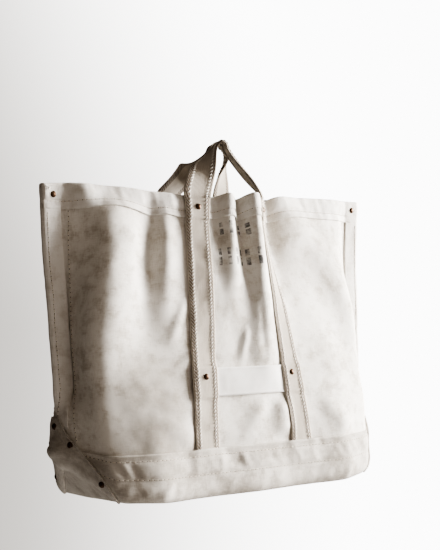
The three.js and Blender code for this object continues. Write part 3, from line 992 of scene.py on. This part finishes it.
for end, tip in (("left", -HALF), ("right", HALF)):
    rows = places(-2 * MM, EAR_TOP, 2.2 * MM)
    across = np.sin(np.linspace(-1, 1, 61) * math.pi / 2)
    offset = across[None, :] * ear_reach(rows)[:, None]
    height = np.broadcast_to(rows[:, None], offset.shape)
    from_edge = (ear_reach(height) - abs(offset)) * 0.8
    border = 1 - smooth(from_edge, 9.5 * MM * (0.35 + 0.65 * smooth(height, 0, 60 * MM)), 12 * MM)
    roll = np.exp(-((from_edge / (2.2 * MM)) ** 2))
    ridge = np.exp(-(((from_edge - 10.5 * MM) / (1.6 * MM)) ** 2))
    creases = 0.7 * MM * lattice(offset, height, 24 * MM, 71)
    creases += 0.5 * MM * lattice(offset * 0.4, height, 9 * MM, 72)
    middle = smooth(from_edge, 8 * MM, 26 * MM)
    pressed = 1.0 * MM * smooth(height, EAR_TOP - 14 * MM, EAR_TOP)
    proud = MM * (0.7 * border + 0.9 * roll + 0.6 * ridge)
    outer = EAR_OUT - pressed + proud + middle * creases
    inner = EAR_IN + 0 * outer
    ear = cloth_sheet(f"ear_{end}", tip + offset, height, inner, outer, base_canvas.material)
    face_outward(ear)
    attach(ear, "bag")
    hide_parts(f"end_ear_{end}")
    area = 2 * float(ear_reach(rows).mean()) * EAR_TOP
print("ears:", round(area * 1e4), "square centimetres each")

# %% Cross strip
along, height = np.meshgrid(places(-96 * MM, 96 * MM, 3 * MM), places(STRIP_LOW, STRIP_HIGH, 2.6 * MM))
edge = np.minimum(height - STRIP_LOW, STRIP_HIGH - height)
free = 1 - smooth(abs(along), 44 * MM, 58 * MM)
outer = 3.5 * MM + 0.5 * MM * np.exp(-((edge / (2 * MM)) ** 2)) + 0.8 * MM * free * smooth(edge, 0, 14 * MM)
strip = cloth_sheet("cross_band", along, height, 1.8 * MM, outer, tape.material)
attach(strip, "bag")
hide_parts("cross_strip")
print("cross strip:", round((STRIP_HIGH - STRIP_LOW) / MM), "mm high")

# %% [markdown]
# ## Webbing
# On each face one long piece of webbing makes both straps and the handle between them. On the straps it
# follows the canvas. Above the mouth it leaves the canvas, and its path runs up to the hook and down again
# while the webbing turns a quarter round. Both handles are drawn together and squeezed narrow on the hook. A
# table of points along and across the webbing holds both parts, and the stitches are placed from that table.

# %% The path of the webbing
WEB = 2.4 * MM
WEB_SAMPLES = 17
ACROSS = np.linspace(-1, 1, WEB_SAMPLES)
CROWN_HALF = 13 * MM  # half the width on the hook
CROWN_ACROSS = np.array([0.41, 0.91, 0])  # which way the width lies on the hook
BOWS = {("front", -1): 4, ("front", 1): -5, ("back", -1): -1, ("back", 1): 0}  # sideways, in millimetres
TURNS = {("front", 1): (-0.25, 0.45)}  # where the quarter turn starts and ends, as shares of the way up
TURNS_ELSE = (0.15, 0.95)


def strap_lift(height):
    """The middle of the webbing's thickness, above the canvas: it climbs over the strip and over the hem."""
    strip = between(height, STRIP_LOW - 4 * MM, STRIP_LOW + 1 * MM, STRIP_HIGH - 1 * MM, STRIP_HIGH + 4 * MM)
    hem = smooth(height, HEM_LOW - 5 * MM, HEM_LOW + 1 * MM)
    return 3.1 * MM + 1.7 * MM * strip + 2.4 * MM * hem


def unit(vectors):
    return vectors / np.linalg.norm(vectors, axis=-1, keepdims=True)


def travelled(points):
    """The distance along a line of points at each of them."""
    return np.concatenate([[0], np.cumsum(np.linalg.norm(np.diff(points, axis=0), axis=1))])


def curve_through(points, step):
    """Points every step or so along a smooth curve through the given points."""
    points = np.array(points, float)
    padded = np.concatenate([2 * points[:1] - points[1:2], points, 2 * points[-1:] - points[-2:-1]])
    made = []
    for k in range(len(points) - 1):
        count = max(2, int(np.linalg.norm(points[k + 1] - points[k]) / step))
        for t in np.linspace(0, 1, count, endpoint=False):
            made.append(sum(w * padded[k + i] for i, w in enumerate(four_weights(t))))
    return np.array(made + [points[-1]])


def handle_path(face, side, top, leave):
    """The middle of half a handle, from the mouth to the top of the hook."""
    out = -1 if face == "front" else 1
    bow = BOWS[face, side]
    crown = np.array([7 + 9 * out, 17 * out, 0])
    below_crown = crown + np.array([side * 11, 0, -4])
    stops = [
        top,
        top + leave * 8 * MM,
        mix(top, below_crown * MM, 0.52) + np.array([side * bow, -out, 4]) * MM,
        (crown + np.array([side * (12 + 0.6 * bow), -side * 4.2, -12])) * MM,
        (crown + np.array([side * 6, -side * 3, -2.4])) * MM,
        (crown + np.array([0, 0, 1.8])) * MM,
    ]
    return curve_through(stops, 2.2 * MM)[1:]


def half_web(face, side):
    """One strap from its foot to the mouth, then half the handle to the hook."""
    heights = places(STRAP_END, DEPTH - 1 * MM, 2.2 * MM)
    along = side * STRAP_AT + STRAP_HALF * ACROSS
    ring = ring_of(face, np.broadcast_to(along, (len(heights), WEB_SAMPLES)))
    strap, outward = on_cloth(ring, heights[:, None], strap_lift(heights)[:, None])
    middle = strap[:, WEB_SAMPLES // 2]
    across = unit(strap[:, -1] - strap[:, 0])
    path = handle_path(face, side, middle[-1], unit(middle[-1] - middle[-4]))
    share = travelled(path) / travelled(path)[-1]
    turn = smooth(share, *TURNS.get((face, side), TURNS_ELSE))
    twist = ((turn - turn[0]) / (1 - turn[0]))[:, None]
    towards = mix(across[-1], side * CROWN_ACROSS, twist)
    tangent = unit(np.gradient(np.concatenate([middle[-1:], path]), axis=0)[1:])
    towards = unit(towards - (towards * tangent).sum(-1, keepdims=True) * tangent)
    facing = np.cross(towards, tangent) * (1.0 if face == "front" else -1.0)
    width = mix(STRAP_HALF, CROWN_HALF, smooth(share, 0.05, 0.98))[:, None, None]
    curl = mix(0.0, 3.0 * MM, smooth(share, 0.3, 0.9))[:, None, None]
    u = ACROSS[None, :, None]
    handle = path[:, None] + towards[:, None] * u * width - facing[:, None] * curl * u * u
    slope = unit(facing[:, None] + towards[:, None] * 2 * (curl / width) * u)
    points = np.concatenate([strap, handle])
    normals = np.concatenate([outward, slope])
    row = np.arange(len(strap))
    flatter = 0.6 * smooth(row, len(strap) - 12, len(strap) + 6)[:, None, None]  # just below the mouth
    straight = middle[:, None] + across[:, None] * u * STRAP_HALF
    points[:len(strap)] = mix(strap, straight, flatter)
    return points, unit(normals)


def whole_web(face):
    left, left_out = half_web(face, -1)
    right, right_out = half_web(face, 1)
    points = np.concatenate([left, right[-2::-1, ::-1]])
    normals = np.concatenate([left_out, right_out[-2::-1, ::-1]])
    return points, normals, travelled(points[:, WEB_SAMPLES // 2])


def on_web(web, distance, across, lift=0.0):
    """A point of the webbing: distance along it, -1 to 1 across it, and a lift off its middle."""
    points, normals, travel = web
    distance, across, lift = np.broadcast_arrays(*(np.asarray(v, float) for v in (distance, across, lift)))
    row = np.interp(distance, travel, np.arange(len(travel)))
    i = np.clip(np.floor(row).astype(int), 0, len(travel) - 2)
    column = (np.clip(across, -1, 1) + 1) / 2 * (WEB_SAMPLES - 1)
    j = np.clip(np.floor(column).astype(int), 0, WEB_SAMPLES - 2)
    u, v = (row - i)[..., None], (column - j)[..., None]

    def read_table(table):
        return mix(mix(table[i, j], table[i, j + 1], v), mix(table[i + 1, j], table[i + 1, j + 1], v), u)

    normal = unit(read_table(normals))
    return read_table(points) + normal * lift[..., None], normal


# %% Straps and handles
ROPE = 0.64  # where the stitched ridge runs, as a share of the half width


def web_section():
    """Round the webbing: (across, lift). The face has a ridge near each edge, where it is stitched."""
    top = np.linspace(-1, 1, 27)
    ridge = 0.3 * MM * np.exp(-(((abs(top) - ROPE) / 0.13) ** 2))
    edge = np.sqrt(np.clip(1 - (abs(top)) ** 14, 0.02, 1))
    face = np.stack([top, (WEB / 2 + ridge) * edge], -1)
    reverse = np.stack([top[::-1], -(WEB / 2) * edge[::-1]], -1)[::2]
    return np.concatenate([face, reverse])


def bend_at_mouth(piece):
    """Bakes the piece's placement into its points."""
    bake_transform(piece)


WEBS = {face: whole_web(face) for face in ("front", "back")}
section = web_section()
for face, web in WEBS.items():
    distance = places(0, web[2][-1], 2.0 * MM)
    grid = np.broadcast_to(distance[:, None], (len(distance), len(section)))
    points, _ = on_web(web, grid, section[:, 0], section[:, 1])
    flat = np.stack([section[:, 0] * STRAP_HALF + 0 * grid, grid, 0 * grid], -1)
    band = make_tube(f"webbing_{face}", points, flat, webbing.material)
    bend_at_mouth(band)
    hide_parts(f"strap_{face}_left", f"strap_{face}_right", f"handle_{face}")

# %% [markdown]
# ## Stitches
# A seam shows as separate stitches, each a short hump of thread with needle holes at its ends. They are
# small, but they draw the construction, so each one is a little spindle that lies on the cloth. The shade in
# the needle holes is painted as small dark spindles.

# %% Stitches
def spindles(starts, ends, outward, radius, hump):
    """A spindle for each start and end: points (n * rings * sides, 3) and the faces over them."""
    sides, rings = 6, 5
    t = np.linspace(0, 1, rings)
    swell = radius * np.array([0.45, 0.95, 1.05, 0.95, 0.45])
    along = unit(ends - starts)
    aside = unit(np.cross(along, outward))
    lift = np.cross(aside, along)
    centre = starts[:, None] + (ends - starts)[:, None] * t[:, None]
    centre = centre + outward[:, None] * (hump * np.sin(math.pi * t) - 0.15 * radius)[:, None]
    angles = np.linspace(0, 2 * math.pi, sides, endpoint=False)
    spoke = np.cos(angles)[:, None, None] * aside + np.sin(angles)[:, None, None] * lift
    points = centre[:, :, None] + swell[None, :, None, None] * np.swapaxes(spoke, 0, 1)[:, None]
    one = grid_faces(rings, sides, closed=True)
    shift = (np.arange(len(starts)) * rings * sides)[:, None, None]
    quads = (one[None] + shift).reshape(-1, 4)
    ends_of = np.array([list(range(sides))[::-1], list(range((rings - 1) * sides, rings * sides))])
    caps = (ends_of[None] + shift).reshape(-1, sides)
    return points.reshape(-1, 3), [list(f) for f in quads] + [list(f) for f in caps]


def resample(track, pitch):
    """Evenly spaced places along a track of (ring, height) rows, with the direction at each."""
    travel = travelled(track)
    stops = np.arange(pitch / 2, travel[-1], pitch)
    spots = np.stack([np.interp(stops, travel, track[:, k]) for k in range(track.shape[1])], -1)
    return spots, unit(np.gradient(spots, axis=0))


def thread_piece(name, batches, radius, hump, finish):
    """Batches of (starts, ends, outward) as one piece."""
    points, faces = [], []
    for starts, ends, outward in batches:
        made, over = spindles(starts, ends, outward, radius, hump)
        count = sum(len(p) for p in points)
        points.append(made)
        faces += [[i + count for i in f] for f in over]
    points = np.concatenate(points)
    flat = np.stack([0 * points[:, 0], points[:, 2], points[:, 0]], -1)
    piece = make_piece(name, points, faces, finish, flat)
    return face_outward(piece)


def sewn(track, lift, pitch, seed, length=3.9 * MM):
    """One row of stitches along a track on the cloth, a little uneven as hand-guided sewing is."""
    spots, along = resample(track, pitch)
    random = np.random.default_rng(seed)
    spots = spots + random.normal(0, 0.18 * MM, spots.shape)
    reach = along * length / 2 * random.uniform(0.9, 1.1, (len(spots), 1))
    lifts = lift(*spots.T) if callable(lift) else lift
    starts, outward = on_cloth(*(spots - reach).T, lifts)
    ends, _ = on_cloth(*(spots + reach).T, lifts)
    return starts, ends, outward


def needle_shade_of(batches, reach):
    """Painted shade in the needle holes of each row: dark dots just off the ends of the thread."""
    made = []
    for starts, ends, outward in batches:
        along = unit(ends - starts)
        made.append((ends - along * reach * 0.2, ends + along * reach, outward))
    return made


def level_track(face, low, high, height):
    along = places(low, high, 2 * MM)
    return np.stack([ring_of(face, along), along * 0 + height], -1)


def sew(batches, name):
    made = thread_piece(f"{name}_stitches", batches, 0.5 * MM, 0.35 * MM, thread.material)
    # Painted shade: dark dots just off the stitch ends for the shade in the needle holes.
    dots = needle_shade_of(batches, 1.3 * MM)
    dots = thread_piece(f"{name}_needle_shade_dots", dots, 0.48 * MM, 0.0, needle_shade_finish.material)
    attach(made, "bag")
    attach(dots, "bag")
    print(made.name, sum(len(starts) for starts, _, _ in batches))


SEAM_ROW = 36 * MM
batches = []
for face, seed in HEM_SEEDS.items():
    track = level_track(face, -HALF + 4 * MM, HALF - 4 * MM, HEM_ROW)
    lift = lambda ring, height: HEM_OUT + hem_lift(along_of(ring), height, seed)
    batches.append(sewn(track, lift, 5.6 * MM, seed))
sew(batches, "hem")

# Two rows beside each end seam: (off the tip, lowest height, lift)
seam_rows = ((4.5 * MM, EAR_TOP - 4 * MM, BIND_OUT), (SEAM_ROW, EAR_TOP - 36 * MM, 1.6 * MM))
batches = []
for tip in (-HALF, HALF):
    for side in (-1, 1):
        for offset, low, lift in seam_rows:
            rows = places(low, DEPTH - HEM_TURN - 3 * MM, 2 * MM)
            sway = 0.6 * MM * lattice(rows, rows * 0, 30 * MM, 81)
            track = np.stack([tip + side * (offset + sway), rows], -1)
            batches.append(sewn(track, lift, 5.8 * MM, 82))
sew(batches, "seam")

batches = []
for number, row in enumerate(BOOT_ROWS):
    for face in ("front", "back"):
        inset = ear_reach(row) - 4 * MM
        track = level_track(face, -HALF + inset, HALF - inset, row)
        lift = lambda ring, height: 3.3 * MM + boot_lift(ring, height)
        batches.append(sewn(track, lift, 6.2 * MM, 90 + number))
sew(batches, "boot")


# %% Stitches of the webbing
def web_stitches(web, seed):
    """Two rows of long slanting stitches, which look like rope laid on the webbing."""
    batches = []
    random = np.random.default_rng(seed)
    stops = np.arange(6 * MM, web[2][-1] - 6 * MM, 4.8 * MM)
    slant = 0.10
    lift = WEB / 2 + 0.5 * MM
    for side in (-1, 1):
        centre = side * ROPE + random.normal(0, 0.006, len(stops))
        reach = 1.7 * MM * random.uniform(0.9, 1.1, len(stops))
        starts, outward = on_web(web, stops - reach, centre - slant, lift)
        ends, _ = on_web(web, stops + reach, centre + slant, lift)
        batches.append((starts, ends, outward))
    return batches


for face, web in WEBS.items():
    rows = web_stitches(web, 101)
    name = f"webbing_stitches_{face}"
    piece = thread_piece(name, rows, 0.8 * MM, 0.25 * MM, white_thread.material)
    bend_at_mouth(piece)
    print(name, sum(len(starts) for starts, _, _ in rows))

# %% [markdown]
# ## Rivets
# A rivet closes each place that takes the load: the tops of the straps, the strap at the strip, the mouth's
# corners and the ears. Each has a domed cap, a shank through the layers and a flat burr on the inside, so one
# profile turned on a lathe makes it.

# %% Rivets
# Profiles in millimetres: (radius, height), from the top of the cap to the end of the tail
CAP_PROFILE = [
    (0, 1.9), (0.9, 1.85), (1.8, 1.65), (2.7, 1.3), (3.4, 0.85), (3.9, 0.4),
    (4.2, 0.05), (4.15, -0.35), (1.6, -0.4),
]
BURR_PROFILE = [(1.6, 0.3), (3.2, 0.2), (3.2, -0.5), (1.9, -0.7), (1.5, -1.3), (0, -1.4)]


def lathe(profile, sides=28):
    angles = np.linspace(0, 2 * math.pi, sides, endpoint=False)
    rings = np.array([[(r * math.cos(a), r * math.sin(a), z) for a in angles] for r, z in profile])
    return rings.reshape(-1, 3), [list(f) for f in grid_faces(len(profile), sides, closed=True)]


def set_rivet(node, ring, height, seat, tail=0.0):
    """A rivet through the layers at a pattern place, from a lift outside to a lift inside."""
    spot, outward = on_cloth(ring, height, seat)
    depth = (seat - tail) / MM
    profile = CAP_PROFILE + [(r, z - depth) for r, z in BURR_PROFILE]
    points, faces = lathe([(r * MM, z * MM) for r, z in profile])
    turn = Vector(outward).to_track_quat("Z", "Y").to_matrix()
    placed = points @ np.array(turn).T + spot
    piece = make_piece(node + ".cap", placed, faces, rivet_metal.material)
    face_outward(piece, weld=0.02 * MM)
    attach(piece, "bag")
    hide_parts(node)


web_out = WEB / 2 + 0.1 * MM
for face in ("front", "back"):
    for end, side in (("left", -1), ("right", 1)):
        ring = ring_of(face, side * STRAP_AT)
        for level, height, tail in (("top", DEPTH - 13 * MM, -1.9 * MM), ("low", 147 * MM, 0.0)):
            seat = strap_lift(height) + web_out
            set_rivet(f"rivet_strap_{level}_{face}_{end}", ring, height, seat, tail)
        for level, offset, height in (("middle", 27 * MM, 64 * MM), ("bottom", 67 * MM, 12 * MM)):
            ring_at = ring_of(face, side * (HALF - offset))
            set_rivet(f"rivet_ear_{level}_{face}_{end}", ring_at, height, EAR_OUT + 0.4 * MM)
for end, side in (("left", -1), ("right", 1)):
    mouth_end, tip = side * (HALF - 14 * MM), side * HALF
    set_rivet(f"rivet_mouth_{end}", mouth_end, DEPTH - 10 * MM, HEM_OUT + 0.6 * MM, -5.5 * MM)
    set_rivet(f"rivet_ear_top_{end}", tip, EAR_TOP - 12 * MM, EAR_OUT + 0.6 * MM)

# %% A tuft of frayed thread at the near mouth corner
def tuft():
    random = np.random.default_rng(7)
    batches = []
    root, outward = on_cloth(-HALF + 9 * MM, DEPTH - 3 * MM, 4.5 * MM)
    for strand in range(12):
        at = root + random.normal(0, 1.4 * MM, 3)
        heading = unit(np.array([-0.7, -0.5, 0.25]) + random.normal(0, 0.55, 3))
        for step in range(5):
            ahead = at + heading * random.uniform(1.2, 2.0) * MM
            batches.append((at[None], ahead[None], outward[None]))
            heading = unit(heading + random.normal(0, 0.35, 3) + np.array([0, 0, -0.12]))
            at = ahead
    return batches


frayed = thread_piece("frayed_thread", tuft(), 0.28 * MM, 0.0, white_thread.material)
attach(frayed, "bag")
print(frayed.name, len(frayed.data.polygons), "faces")

# %% [markdown]
# ## Both boxes
# The dressed sack should still fill the space that the plain assembly filled, so both boxes are printed.

# %% Finish
boxes = {"cad": CAD_BOX, "visual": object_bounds()}
boxes = {name: [list(map(float, side)) for side in box] for name, box in boxes.items()}
print(boxes)
